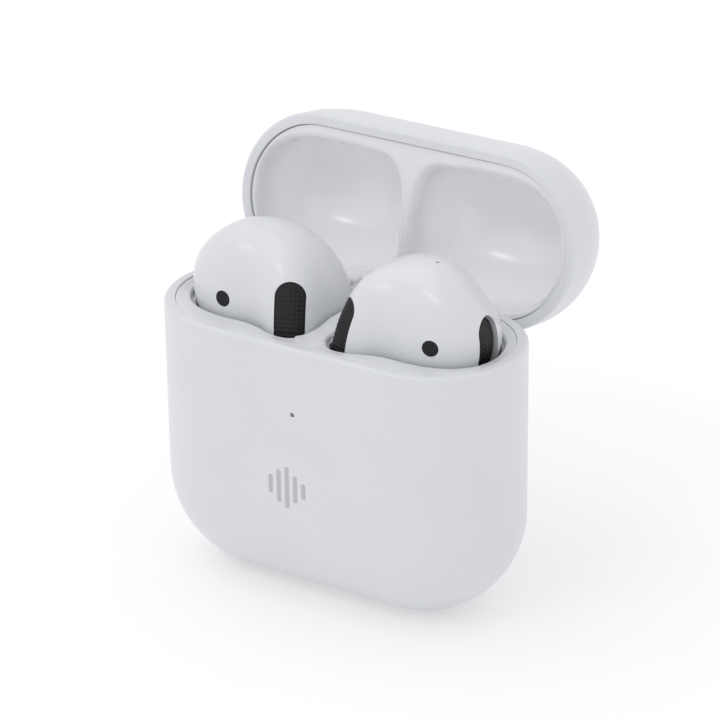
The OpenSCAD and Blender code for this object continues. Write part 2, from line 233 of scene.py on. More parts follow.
def new_material(name):
    """An empty node material: (material, nodes, links, shader)."""
    material = bpy.data.materials.new(name)
    material.use_nodes = True
    nodes, links = material.node_tree.nodes, material.node_tree.links
    return material, nodes, links, nodes["Principled BSDF"]


def noise(nodes, links, scale, detail=4.0, roughness=0.55):
    """A noise texture in the object's own coordinates; scale is in waves per metre."""
    place = nodes.new("ShaderNodeTexCoord")
    texture = nodes.new("ShaderNodeTexNoise")
    texture.inputs["Scale"].default_value = scale
    texture.inputs["Detail"].default_value = detail
    texture.inputs["Roughness"].default_value = roughness
    links.new(place.outputs["Object"], texture.inputs["Vector"])
    return texture.outputs["Fac"]


def spread(nodes, links, value, low, high, start=0.35, end=0.65):
    """Maps a value from start..end to low..high."""
    node = nodes.new("ShaderNodeMapRange")
    node.inputs["From Min"].default_value = start
    node.inputs["From Max"].default_value = end
    node.inputs["To Min"].default_value = low
    node.inputs["To Max"].default_value = high
    links.new(value, node.inputs["Value"])
    return node.outputs["Result"]


def blend_colours(nodes, links, factor, first, second):
    """A colour between two, by a factor."""
    node = nodes.new("ShaderNodeMix")
    node.data_type = "RGBA"
    node.inputs["A"].default_value = (*first, 1)
    node.inputs["B"].default_value = (*second, 1)
    links.new(factor, node.inputs["Factor"])
    return node.outputs["Result"]


def bump(nodes, links, height, distance, strength, shader):
    """Bump of a given depth in metres."""
    node = nodes.new("ShaderNodeBump")
    node.inputs["Distance"].default_value = distance
    node.inputs["Strength"].default_value = strength
    links.new(height, node.inputs["Height"])
    links.new(node.outputs["Normal"], shader.inputs["Normal"])


def moulded_plastic(name, colour, rough=0.26, coat=0.35, tint=0.012, peel=0.000004):
    """Polished moulding: faint mottling, a slightly uneven gloss and a fine orange peel."""
    material, nodes, links, shader = new_material(name)
    mottle = spread(nodes, links, noise(nodes, links, 110, 2), 0.0, 1.0)
    darker = [max(0.0, c - tint) for c in colour]
    links.new(blend_colours(nodes, links, mottle, darker, colour), shader.inputs["Base Color"])
    gloss = spread(nodes, links, noise(nodes, links, 160, 3), rough - 0.02, rough + 0.03)
    links.new(gloss, shader.inputs["Roughness"])
    bump(nodes, links, noise(nodes, links, 420, 2), peel, 0.25, shader)
    shader.inputs["Coat Weight"].default_value = coat
    shader.inputs["Coat Roughness"].default_value = 0.12
    shader.inputs["IOR"].default_value = 1.5
    return material


# Depths in the liner's bowls over which painted light turns its colour paler, against the shade that falls in them
PAINTED_LIGHT_FROM = 0.3
PAINTED_LIGHT_TO = 5.0


def paint_light_in_bowls(material, colour):
    """Paints light into the liner's bowls: its colour turns paler with depth, measured on the lid at rest, to
    offset the shade in them.
    """
    nodes, links = material.node_tree.nodes, material.node_tree.links
    shader = nodes["Principled BSDF"]
    border = shader.inputs["Base Color"].links[0].from_socket
    place = nodes.new("ShaderNodeTexCoord")
    depth = nodes.new("ShaderNodeVectorMath")
    depth.operation = "DOT_PRODUCT"
    inward = Vector((0, math.sin(math.radians(LID_ANGLE)), math.cos(math.radians(LID_ANGLE))))
    depth.inputs[1].default_value = inward
    links.new(place.outputs["Object"], depth.inputs[0])
    level = inward.dot(HINGE) + LINER_Z - HINGE.z
    first, last = (level + PAINTED_LIGHT_FROM) * MM, (level + PAINTED_LIGHT_TO) * MM
    # Painted light: a paler colour is mixed in deeper in the bowls, where shade falls
    share = spread(nodes, links, depth.outputs["Value"], 0.0, 1.0, first, last)
    mix = nodes.new("ShaderNodeMix")
    mix.data_type = "RGBA"
    mix.inputs["B"].default_value = (*colour, 1)
    links.new(share, mix.inputs["Factor"])
    links.new(border, mix.inputs["A"])
    links.new(mix.outputs["Result"], shader.inputs["Base Color"])


def metal(name, colour, rough, grain=(60, 60, 3000)):
    """Metal with a fine brushed grain, stretched across the axes with low scales."""
    material, nodes, links, shader = new_material(name)
    place = nodes.new("ShaderNodeTexCoord")
    stretch = nodes.new("ShaderNodeMapping")
    stretch.inputs["Scale"].default_value = grain
    texture = nodes.new("ShaderNodeTexNoise")
    texture.inputs["Scale"].default_value = 1.0
    texture.inputs["Detail"].default_value = 6.0
    links.new(place.outputs["Object"], stretch.inputs["Vector"])
    links.new(stretch.outputs["Vector"], texture.inputs["Vector"])
    brushed = texture.outputs["Fac"]
    darker = [0.8 * c for c in colour]
    tone = spread(nodes, links, brushed, 0.0, 1.0)
    links.new(blend_colours(nodes, links, tone, darker, colour), shader.inputs["Base Color"])
    links.new(spread(nodes, links, brushed, rough - 0.06, rough + 0.08), shader.inputs["Roughness"])
    bump(nodes, links, brushed, 0.000004, 0.4, shader)
    shader.inputs["Metallic"].default_value = 1.0
    return material


def dull(name, colour, rough=0.6, contrast=0.35, scale=1800, depth=0.00001):
    """Matt resin, insulation or ribbon, with a fine uneven surface."""
    material, nodes, links, shader = new_material(name)
    grain = noise(nodes, links, scale, 6)
    darker = [c * (1 - contrast) for c in colour]
    tone = spread(nodes, links, grain, 0.0, 1.0)
    links.new(blend_colours(nodes, links, tone, darker, colour), shader.inputs["Base Color"])
    links.new(spread(nodes, links, grain, rough - 0.08, rough + 0.08), shader.inputs["Roughness"])
    bump(nodes, links, grain, depth, 0.5, shader)
    shader.inputs["Specular IOR Level"].default_value = 0.3
    return material


def circuit_board(name):
    """Green solder mask over straight copper tracks."""
    material, nodes, links, shader = new_material(name)
    place = nodes.new("ShaderNodeTexCoord")
    tracks = nodes.new("ShaderNodeTexBrick")
    tracks.inputs["Scale"].default_value = 260
    tracks.inputs["Mortar Size"].default_value = 0.06
    tracks.inputs["Color1"].default_value = (0.012, 0.11, 0.05, 1)
    tracks.inputs["Color2"].default_value = (0.016, 0.15, 0.07, 1)
    tracks.inputs["Mortar"].default_value = (0.05, 0.24, 0.10, 1)
    links.new(place.outputs["Object"], tracks.inputs["Vector"])
    links.new(tracks.outputs["Color"], shader.inputs["Base Color"])
    bump(nodes, links, tracks.outputs["Fac"], 0.00002, 0.5, shader)
    links.new(spread(nodes, links, noise(nodes, links, 1200), 0.3, 0.42), shader.inputs["Roughness"])
    return material


def woven_mesh(name):
    """Black woven wire: satin, with a glint on the crowns of the wires."""
    material, nodes, links, shader = new_material(name)
    grain = noise(nodes, links, 4000, 3)
    tone = spread(nodes, links, grain, 0.0, 1.0)
    links.new(blend_colours(nodes, links, tone, (0.006, 0.006, 0.007), (0.011, 0.0105, 0.012)),
              shader.inputs["Base Color"])
    links.new(spread(nodes, links, grain, 0.30, 0.46), shader.inputs["Roughness"])
    shader.inputs["Specular IOR Level"].default_value = 0.3
    return material


PLAIN = bpy.data.materials.new("cutter")
SHELL_WHITE = moulded_plastic("shell_white", (0.675, 0.685, 0.71), rough=0.34, coat=0.12)
FRAME_WHITE = moulded_plastic("frame_white", (0.70, 0.71, 0.73), rough=0.34, coat=0.12)
LINER_WHITE = moulded_plastic("liner_white", (0.76, 0.765, 0.78), rough=0.22, coat=0.6)
# Painted light: the liner's colour turns paler deep in its bowls, where shade falls
paint_light_in_bowls(LINER_WHITE, (0.955, 0.955, 0.96))
BUD_WHITE = moulded_plastic("bud_white", (0.675, 0.685, 0.70), rough=0.3, coat=0.3)
MARK_GREY = moulded_plastic("mark_grey", (0.47, 0.46, 0.475), rough=0.4, coat=0.1)
MESH_BLACK = woven_mesh("mesh_black")
WINDOW_BLACK = dull("window_black", (0.009, 0.009, 0.011), rough=0.5, contrast=0.2, depth=0.000002)
STEEL = metal("plated_steel", (0.72, 0.73, 0.75), 0.28)
SCREW = metal("screw_steel", (0.36, 0.37, 0.39), 0.35)
NICKEL = metal("nickel", (0.62, 0.61, 0.6), 0.2)
GOLD = metal("gold", (0.9, 0.66, 0.28), 0.22)
RESIN = dull("black_resin", (0.035, 0.035, 0.038))
RIBBON = dull("ribbon", (0.5, 0.22, 0.04), rough=0.35)
FOIL = metal("foil", (0.6, 0.62, 0.65), 0.32, grain=(900, 900, 900))
BOARD = circuit_board("circuit_board")
RED = dull("red_insulation", (0.5, 0.02, 0.02), rough=0.45)
BLACK = dull("black_insulation", (0.02, 0.02, 0.02), rough=0.45)
PHOSPHOR = dull("phosphor", (0.75, 0.7, 0.35), rough=0.4)
SMOKED = moulded_plastic("smoked_lens", (0.16, 0.16, 0.17), rough=0.2, coat=0.6)

# ---- the two shells -----------------------------------------------------------------------------

ARC_STEPS = 24
EDGE_STEPS = 72
LIGHT_R = 0.32
BUTTON_HOLE_R = 2.28
LIP_OUT = 0.55
LIP_IN = 0.1


def rail(corner_z, rim_z):
    """Path in XZ that the half-round edge is swept along, with its outward direction.

    It runs from the rim round a corner, along the foot, round the other corner and back to the rim.
    """
    down = -1.0 if rim_z > corner_z else 1.0
    turns = [0.5 * math.pi * i / ARC_STEPS for i in range(ARC_STEPS + 1)]
    half = [(END_X, rim_z, 1.0, 0.0), (END_X, (rim_z + corner_z) / 2, 1.0, 0.0)]
    half += [(CORNER_X + FLAT_IN * math.cos(a), corner_z + down * FLAT_IN * math.sin(a),
              math.cos(a), down * math.sin(a)) for a in turns]
    return half + [(-x, z, -nx, nz) for x, z, nx, nz in reversed(half)]


def form_skin(inset, corner_z, rim_z, verts, faces):
    """One skin of a shell, all but its rim. Returns the loop of points at the rim."""
    radius = HALF_D - inset
    turns = [math.pi * (j / EDGE_STEPS - 0.5) for j in range(EDGE_STEPS + 1)]
    grid = []
    for x, z, nx, nz in rail(corner_z, rim_z):
        row = []
        for b in turns:
            row.append(len(verts))
            out = radius * math.cos(b)
            verts.append((x + out * nx, radius * math.sin(b), z + out * nz))
        grid.append(row)
    for low, high in zip(grid, grid[1:]):
        faces += [(low[j], low[j + 1], high[j + 1], high[j]) for j in range(EDGE_STEPS)]
    for j in (0, EDGE_STEPS):
        faces.append(tuple(row[j] for row in grid))
    return grid[0] + grid[-1][::-1]


def rim_loop(inset, z, verts):
    """A level loop of points round the rim, in the order of form_skin's."""
    radius = HALF_D - inset
    turns = [math.pi * (j / EDGE_STEPS - 0.5) for j in range(EDGE_STEPS + 1)]
    right = [(END_X + radius * math.cos(b), radius * math.sin(b), z) for b in turns]
    left = [(-x, y, z) for x, y, z in reversed(right)]
    start = len(verts)
    verts += right + left
    return list(range(start, len(verts)))


def join_loops(loops, faces):
    """Closed bands between neighbouring loops."""
    for low, high in zip(loops, loops[1:]):
        count = len(low)
        faces += [(low[i], low[(i + 1) % count], high[(i + 1) % count], high[i]) for i in range(count)]


def shell(name, corner_z, rim_z, material):
    """A shell with a rounded lip, open at its rim."""
    up = 1.0 if rim_z > corner_z else -1.0
    verts, faces = [], []
    outer = form_skin(0.0, corner_z, rim_z - up * LIP_OUT, verts, faces)
    inner = form_skin(WALL, corner_z, rim_z - up * LIP_IN, verts, faces)
    loops = [outer]
    loops += [rim_loop(i, rim_z - up * d, verts) for i, d in fillet(LIP_OUT)[1:]]
    loops += [rim_loop(WALL - i, rim_z - up * d, verts) for i, d in fillet(LIP_IN)[:0:-1]]
    loops.append(inner)
    join_loops(loops, faces)
    if name == "base_casing":
        verts = [round_to_hinge(v) for v in verts]
    return make_object(name, verts, faces, material, 16)


def round_to_hinge(v):
    """Keeps the back rim within the lid rim's sweep about the hinge."""
    reach = LID_RIM - HINGE.z - 0.1
    y, z = v[1] - HINGE.y, v[2] - HINGE.z
    far = math.hypot(y, z)
    if y <= 0 or z <= 0 or far <= reach:
        return v
    return (v[0], HINGE.y + y * reach / far, HINGE.z + z * reach / far)


def across_y(x, z):
    """Places a prism's XY in the XZ plane at x, z, with its length along +Y."""
    return Matrix.Translation((x, 0, z)) @ Matrix.Rotation(math.radians(90), 4, "X").inverted()


def base_casing():
    """The base's outer shell, with the holes for light, button, socket and hinge."""
    obj = shell("base_casing", BOTTOM_Z, BASE_RIM, SHELL_WHITE)
    button_low, button_high = box_mm("pairing_button")
    button_z = (button_low.z + button_high.z) / 2
    pipe_low, pipe_high = box_mm("light_pipe")
    pipe_x, pipe_z = (pipe_low.x + pipe_high.x) / 2, (pipe_low.z + pipe_high.z) / 2
    port_low, port_high = box_mm("usb_shell")
    notch_x = box_mm("hinge_bracket_base")[1].x + HINGE_GAP
    cutters = [
        prism("foot", [(-60, -30), (60, -30), (60, 30), (-60, 30)], -5, 0),
        prism("port", oblong(port_high.x - port_low.x + 0.26, port_high.y - port_low.y + 0.24), -2, 3),
        prism("light", circle(LIGHT_R, 24), HALF_D - 2.5, HALF_D + 1,
              Matrix.Rotation(math.pi, 4, "Z") @ across_y(-pipe_x, pipe_z)),
        prism("button", circle(BUTTON_HOLE_R, 64), HALF_D - 2.5, HALF_D + 1, across_y(0, button_z)),
        prism("notch", [(-notch_x, HINGE.y - 1), (notch_x, HINGE.y - 1), (notch_x, HALF_D + 1),
                        (-notch_x, HALF_D + 1)], 33, BASE_RIM + 1),
    ]
    cut(obj, cutters, 16)
    return weight_normals(obj)


def lid_casing():
    """The lid's outer shell."""
    return weight_normals(swing_open(shell("lid_casing", TOP_Z, LID_RIM, SHELL_WHITE)))


# ---- earbuds ------------------------------------------------------------------------------------

# Gentle swellings and hollows of the head: direction from its centre, height in millimetres and
# spread in degrees
SWELLINGS = [
    ((-0.80, 0.45, 0.40), -0.35, 34),
    ((0.68, -0.45, 0.58), 0.35, 22),
    ((0.25, -0.20, 0.95), 0.25, 22),
    ((-0.35, -0.20, 0.92), -0.30, 20),
    ((0.80, 0.00, 0.60), -0.30, 22),
    ((0.84, 0.50, -0.05), 0.90, 28),
    ((-0.52, 0.84, -0.16), -0.85, 25),
]
BLEND = 3.6
NECK_R = 5.6
NECK_DROP = 3.2


def turned(z_deg, x_deg=0.0, y_deg=0.0):
    """Rotation about Y, then X, then Z, as a 3 by 3 array."""
    turn = Matrix.Rotation(math.radians(z_deg), 3, "Z") @ Matrix.Rotation(math.radians(x_deg), 3, "X")
    return np.array(turn @ Matrix.Rotation(math.radians(y_deg), 3, "Y"))


# Ellipsoids of the right head and of its nozzle: centre, half sizes and turn
HEAD = (np.array([11.1, 1.3, 37.0]), np.array([10.7, 7.3, 9.5]), turned(-18, 0, -21))
NOZZLE = (np.array([5.35, -4.1, 36.6]), np.array([3.1, 3.55, 7.4]), turned(-39, -19))
MIDST = np.array([8.3, -0.8, 37.0])


def outside(points, form):
    """Roughly how far points lie outside an ellipsoid, in millimetres."""
    centre, half, turn = form
    local = ((points - centre) @ turn) / half
    return (np.linalg.norm(local, axis=1) - 1) * half.min()


def outside_head(points):
    """Roughly how far points lie outside the right head, nozzle blended in."""
    off = points - HEAD[0]
    ways = off / np.maximum(np.linalg.norm(off, axis=1), 1e-6)[:, None]
    main = outside(points, HEAD)
    for direction, height, spread_deg in SWELLINGS:
        d = np.array(direction) / np.linalg.norm(direction)
        away = np.degrees(np.arccos(np.clip(ways @ d, -1, 1)))
        main = main - height * np.exp(-(away / spread_deg) ** 2)
    nose = outside(points, NOZZLE)
    share = np.clip(0.5 + 0.5 * (nose - main) / BLEND, 0, 1)
    return nose * (1 - share) + main * share - BLEND * share * (1 - share)


def head_surface(directions):
    """Points of the right head's surface along unit directions from its midst, in millimetres."""
    near, far = np.zeros(len(directions)), np.full(len(directions), 18.0)
    for _ in range(32):
        middle = (near + far) / 2
        out = outside_head(MIDST + directions * middle[:, None]) > 0
        far = np.where(out, middle, far)
        near = np.where(out, near, middle)
    return flow_into_stem(MIDST + directions * near[:, None])


def flow_into_stem(points):
    """Draws the underside of the head down to the stem."""
    off = np.linalg.norm(points[:, :2] - STEM_AT, axis=1) / NECK_R
    under = smooth_step((HEAD[0][2] - 3 - points[:, 2]) / 4)
    drop = NECK_DROP * np.clip(1 - off * off, 0, 1) ** 2 * under
    points = points.copy()
    points[:, 2] -= drop
    return points


def head_mesh():
    """Points and faces of the right head, as a fine closed mesh in millimetres."""
    bm = bmesh.new()
    bmesh.ops.create_icosphere(bm, subdivisions=6, radius=1.0)
    directions = np.array([v.co[:] for v in bm.verts])
    directions /= np.linalg.norm(directions, axis=1)[:, None]
    faces = [tuple(v.index for v in f.verts) for f in bm.faces]
    bm.free()
    return head_surface(directions), faces


HEAD_POINTS, HEAD_FACES = head_mesh()
HEAD_TREE = BVHTree.FromPolygons([Vector(p) for p in HEAD_POINTS], HEAD_FACES)


def face_frame(place, yaw, pitch=0.0):
    """Matrix in millimetres whose +Z looks out of the head and whose +X is up.

    The yaw is about Z from -Y, and the pitch is upwards.
    """
    turn = Matrix.Rotation(math.radians(yaw), 4, "Z") @ Matrix.Rotation(math.radians(90 - pitch), 4, "X")
    return Matrix.Translation(place) @ turn @ Matrix.Rotation(math.radians(90), 4, "Z")


SLOT_W = 3.9
SLOT_LEN = 9.0
OUTER_SLOT_W = 4.0
WINDOW_R = 1.05
# Places on the right head, and the ways that they face
INNER_SLOT = {"left": dict(place=(3.8, -6.6, 38.0), yaw=-24.3, pitch=21.4),
              "right": dict(place=(3.3, -6.8, 38.0), yaw=-26, pitch=22)}
OUTER_SLOT = dict(place=(21.6, -0.3, 36.9), yaw=80, pitch=4)
WINDOW = {"left": dict(place=(14.0, -6.3, 38.2), yaw=4), "right": dict(place=(16.3, -6.0, 38.3), yaw=12)}
PINHOLE = {"left": dict(place=(13.2, 1.9, 46.3), yaw=0, pitch=88),
           "right": dict(place=(13.6, 0.4, 46.5), yaw=0, pitch=84)}


def on_head(place, u, v, sink):
    """A point of a face frame, dropped on to the right head and sunk below its surface. Millimetres."""
    away = (place.to_3x3() @ Vector((0, 0, -1))).normalized()
    hit, normal, _, _ = HEAD_TREE.ray_cast(place @ Vector((u, v, 6)), away, 14)
    if hit is None:
        hit, normal, _, _ = HEAD_TREE.find_nearest(place @ Vector((u, v, 0)))
    inward = normal if normal.dot(away) > 0 else -normal
    return hit + inward * sink


def sided(points, side):
    """The right side's points, or their mirror images for the left."""
    turn = -1.0 if side == "left" else 1.0
    return [(p[0] * turn, p[1], p[2]) for p in points]


def grille(name, side, place, width, length, sink):
    """A woven patch that follows the head's surface inside a slot with round ends."""
    pitch, crown = 0.40, 0.055
    rows, columns = 150, 66
    points, faces = [], []
    radius = width / 2
    for i in range(rows + 1):
        u = length * (i / rows - 0.5)
        over = max(0.0, abs(u) - (length / 2 - radius))
        half = math.sqrt(max(1e-4, radius * radius - over * over))
        for j in range(columns + 1):
            v = half * (2 * j / columns - 1)
            a = math.pi * (u + v) / pitch / math.sqrt(2)
            b = math.pi * (u - v) / pitch / math.sqrt(2)
            points.append(on_head(place, u, v, sink - crown * math.cos(a) * math.cos(b)))
    for i in range(rows):
        for j in range(columns):
            k = i * (columns + 1) + j
            faces.append((k, k + 1, k + columns + 2, k + columns + 1))
    obj = make_object(name, sided(points, side), faces, MESH_BLACK, 80)
    return thicken(obj, 0.12)


def thicken(obj, thickness):
    """Gives a sheet thickness on its inner side."""
    modifier = obj.modifiers.new("thickness", "SOLIDIFY")
    modifier.thickness = thickness * MM
    modifier.offset = -1
    bpy.context.view_layer.update()
    apply_modifiers(obj)
    return obj


def window(name, side, place, radius):
    """A disc with a soft edge, set in the head's surface."""
    rings, steps = 10, 40
    points, faces = [], []
    for i in range(rings + 2):
        r = radius * max(min(i, rings) / rings, 0.01)
        dip = (0.03 if i < rings else 0.08) if i <= rings else 0.6
        for j in range(steps):
            a = 2 * math.pi * j / steps
            points.append(on_head(place, r * math.cos(a), r * math.sin(a), dip))
    for i in range(rings + 1):
        for j in range(steps):
            k, n = i * steps + j, i * steps + (j + 1) % steps
            faces.append((k, n, n + steps, k + steps))
    faces.append(tuple(range(steps)))
    faces.append(tuple(range((rings + 1) * steps, (rings + 2) * steps)))
    return make_object(name, sided(points, side), faces, WINDOW_BLACK, 40)


def sided_prism(name, side, outline, start, end, place):
    """A prism in a face frame of the right head, mirrored for the left."""
    obj = prism(name, outline, start, end, place)
    if side == "left":
        obj.data.transform(Matrix.Diagonal((-1, 1, 1, 1)))
        tidy_normals(obj, 30)
    return obj


def earbud(side):
    """All the looks of one earbud."""
    body = "earbud_" + side
    inner = face_frame(**INNER_SLOT[side])
    outer = face_frame(**OUTER_SLOT)
    pin = face_frame(**PINHOLE[side])
    dot = face_frame(**WINDOW[side])
    head = make_object("head_" + side, sided(HEAD_POINTS, side), HEAD_FACES, BUD_WHITE, 35)
    inner_mesh = grille("inner_mesh_" + side, side, inner, SLOT_W - 0.04, SLOT_LEN - 0.04, 0.22)
    outer_mesh = grille("outer_mesh_" + side, side, outer, OUTER_SLOT_W - 0.04, SLOT_LEN - 0.04, 0.6)
    lens = window("window_" + side, side, dot, WINDOW_R)
    cut(head, [
        sided_prism("slot", side, oblong(SLOT_LEN, SLOT_W), -1.7, 6, inner),
        sided_prism("slot", side, oblong(SLOT_LEN, OUTER_SLOT_W), -2.0, 6, outer),
        sided_prism("dot", side, circle(WINDOW_R + 0.02, 40), -1.0, 6, dot),
        sided_prism("pinhole", side, circle(0.22, 20), -2, 6, pin),
    ], 35)
    stem_centre = (STEM_AT[0] * (-1 if side == "left" else 1), STEM_AT[1])
    inside = STEM_R - 0.8
    profile = [(0, STEM_FOOT + 0.4), (inside, STEM_FOOT + 0.4), (inside, STEM_FOOT),
               (STEM_R - 0.12, STEM_FOOT), (STEM_R, STEM_FOOT + 0.15), (STEM_R, STEM_TOP - 2),
               (inside, STEM_TOP), (0, STEM_TOP)]
    stem = lathe("stem_" + side, profile, stem_centre, BUD_WHITE)
    assemble(head, body, "bud_white", "head_front_" + side)
    assemble(stem, body, "bud_white", "stem_housing_" + side)
    assemble(inner_mesh, body, "mesh_black", "inner_grille_" + side)
    assemble(outer_mesh, body, "mesh_black", "outer_grille_" + side)
    assemble(lens, body, "window_black", "sensor_window_" + side)


# ---- dished mouldings: the base's frame and the lid's liner -------------------------------------


def ray_to_plan(centre, angle, inset, notch):
    """Distance from a point to the right half's outline, and True where that is the middle plane."""
    radius = HALF_D - inset
    notch_x, notch_y = notch
    dx, dy = math.cos(angle), math.sin(angle)
    found = []
    if dx < -1e-9:
        found.append((-centre[0] / dx, True))
    if abs(dy) > 1e-9:
        t = (math.copysign(radius, dy) - centre[1]) / dy
        if centre[0] + t * dx <= END_X:
            found.append((t, False))
    if dy > 1e-9:
        t = (notch_y - centre[1]) / dy
        if centre[0] + t * dx <= notch_x:
            found.append((t, False))
        elif dx < -1e-9:
            found.append(((notch_x - centre[0]) / dx, False))
    ex, ey = centre[0] - END_X, centre[1]
    b, c = ex * dx + ey * dy, ex * ex + ey * ey - radius * radius
    t = -b + math.sqrt(max(0.0, b * b - c))
    if centre[0] + t * dx > END_X:
        found.append((t, False))
    return min(found)


def plan_angles(centre, inset, notch, steps):
    """Directions from a point, with the half outline's corners among them."""
    radius = HALF_D - inset
    corners = [(0, notch[1]), notch, (notch[0], radius), (0, -radius), (END_X, radius), (END_X, -radius)]
    exact = [math.atan2(y - centre[1], x - centre[0]) for x, y in corners]
    step = 2 * math.pi / steps
    even = [step * i - math.pi for i in range(steps)]
    return sorted([a for a in even if min(abs(a - c) for c in exact) > 0.4 * step] + exact)


def dished(name, centre, inset, notch, profile, thickness, material, steps=240):
    """A moulding with one dish in each half: profile() gives the points of a ray, outside in."""
    verts, faces, rows = [], [], []
    for angle in plan_angles(centre, inset, notch, steps):
        reach, middle = ray_to_plan(centre, angle, inset, notch)
        points = profile(angle, reach, middle)
        rows.append(list(range(len(verts), len(verts) + len(points))))
        verts += points
    for row, following in zip(rows, rows[1:] + rows[:1]):
        faces += [(row[i], following[i], following[i + 1], row[i + 1]) for i in range(len(row) - 1)]
    count = len(verts)
    verts += [(-x, y, z) for x, y, z in verts]
    faces += [tuple(count + i for i in reversed(face)) for face in faces]
    faces = [face for face in faces if any(abs(verts[i][0]) > 1e-6 for i in face)]
    obj = make_object(name, verts, faces, material, 40)
    upward = sum(p.normal.z * p.area for p in obj.data.polygons)
    if (upward > 0) != (thickness > 0):
        obj.data.flip_normals()
    modifier = obj.modifiers.new("thickness", "SOLIDIFY")
    modifier.thickness = abs(thickness) * MM
    modifier.offset = -1
    bpy.context.view_layer.update()
    apply_modifiers(obj)
    return obj


CREST_Z = 36.4
RIDGE_RISE = 0.5
EDGE_ROUND = 0.08
LIP_ROUND = 0.6
DISH = 0.25
WELL_FLOOR = 7.1
CUP_STEPS = 30
SHADOW_BINS = 180
SHEET = 0.4
FRAME_NOTCH_Y = 8.6
LINER_NOTCH = (5.5, 8.95)


def head_shadow(centre, lowest, keep_peaks=False):
    """How far the shadow on the plan of the head above a height reaches from a point, by direction."""
    off = HEAD_POINTS[HEAD_POINTS[:, 2] > lowest][:, :2] - centre
    turns = (np.arctan2(off[:, 1], off[:, 0]) + math.pi) / (2 * math.pi)
    bins = (turns * SHADOW_BINS).astype(int) % SHADOW_BINS
    reach = np.zeros(SHADOW_BINS)
    np.maximum.at(reach, bins, np.linalg.norm(off, axis=1))
    peaks = reach if keep_peaks else np.zeros(SHADOW_BINS)
    for _ in range(3):
        reach = np.maximum(reach, (np.roll(reach, 2) + np.roll(reach, -2)) / 2)
    for _ in range(8):
        reach = (np.roll(reach, 1) + reach + np.roll(reach, -1)) / 3
    return np.maximum(reach, peaks)


BOWL_AT = np.array([11.9, 0.2])
BOWL_HALF = (10.5, 8.1)
BOWL_DEPTH = 11.3
BOWL_LIP = 1.4
LINER_EDGE = 0.12
CUP_SHADOW = head_shadow(MIDST[:2], 20.0, keep_peaks=True)
BOWL_SHADOW = head_shadow(BOWL_AT, LINER_Z + 0.3)


def shadow_reach(shadow, angle):
    """A shadow's reach in one direction."""
    at = (angle + math.pi) / (2 * math.pi) * SHADOW_BINS - 0.5
    low = math.floor(at)
    share = at - low
    return float(shadow[low % SHADOW_BINS] * (1 - share) + shadow[(low + 1) % SHADOW_BINS] * share)


def head_underside(x, y):
    """Height of the head's underside over a point of the plan, or none."""
    hit, _, _, _ = HEAD_TREE.ray_cast(Vector((x, y, 0)), Vector((0, 0, 1)), 60)
    return hit.z if hit is not None else None


def frame_profile(angle, reach, middle):
    """One ray of the base's frame: skirt, rounded edge, deck, lip, cup, stem's well."""
    dx, dy = math.cos(angle), math.sin(angle)
    cx, cy = MIDST[0], MIDST[1]

    def at(radius, z):
        return (cx + radius * dx, cy + radius * dy, z)

    lip = min(shadow_reach(CUP_SHADOW, angle) + CUP_GAP, reach - 0.25)
    land = reach - lip
    edge = min(EDGE_ROUND, 0.4 * land)
    lip_round = min(LIP_ROUND, 0.5 * land)
    rise = RIDGE_RISE * float(smooth_step((cy + reach * dy + 5) / 6))
    crest = CREST_Z + (rise if middle else 0.0)
    points = [at(reach, 31.0)]
    if middle:
        points += [at(reach, crest - 1e-3 * k) for k in range(9, 0, -1)]
        edge = 0.0
    else:
        points += [at(reach - i, crest - d) for i, d in fillet(edge)]
    inner = lip + lip_round
    for k in range(1, 9):
        t = k / 8
        dip = 0.0 if middle else DISH * float(smooth_step(t))
        points.append(at((reach - edge) * (1 - t) + inner * t, crest - dip))
    low_z = points[-1][2]
    for k in range(1, 7):
        a = 0.5 * math.pi * k / 6
        points.append(at(lip + lip_round * (1 - math.sin(a)), low_z - LIP_ROUND * (1 - math.cos(a))))
    wall_z = points[-1][2]
    out = np.array([dx, dy])
    mouth = np.array([cx, cy]) + out * lip
    ring = STEM_AT + out * WELL_R
    for k in range(1, CUP_STEPS + 1):
        t = 1 - math.cos(0.5 * math.pi * k / CUP_STEPS)
        spot = mouth * (1 - t) + ring * t
        under = head_underside(*spot)
        wall_z = min(wall_z - 0.05, wall_z if under is None else under - CUP_ROOM)
        points.append((spot[0], spot[1], wall_z))
    for z in (wall_z - 1.0, 18.0, WELL_FLOOR):
        points.append((ring[0], ring[1], z))
    hole = STEM_AT + out * 2.0
    points.append((hole[0], hole[1], WELL_FLOOR))
    return points


def well_frame():
    """The frame that the earbuds stand in, notched at the back for the hinge."""
    notch = (box_mm("hinge_bracket_base")[1].x + HINGE_GAP, FRAME_NOTCH_Y)
    return dished("well_frame", MIDST[:2], TRAY_INSET, notch, frame_profile, SHEET, FRAME_WHITE)


def bowl_reach(angle, power=2.8):
    """How far the bowl's mouth reaches from its centre: a squared oval."""
    u, v = abs(math.cos(angle)) / BOWL_HALF[0], abs(math.sin(angle)) / BOWL_HALF[1]
    return (u ** power + v ** power) ** (-1 / power)


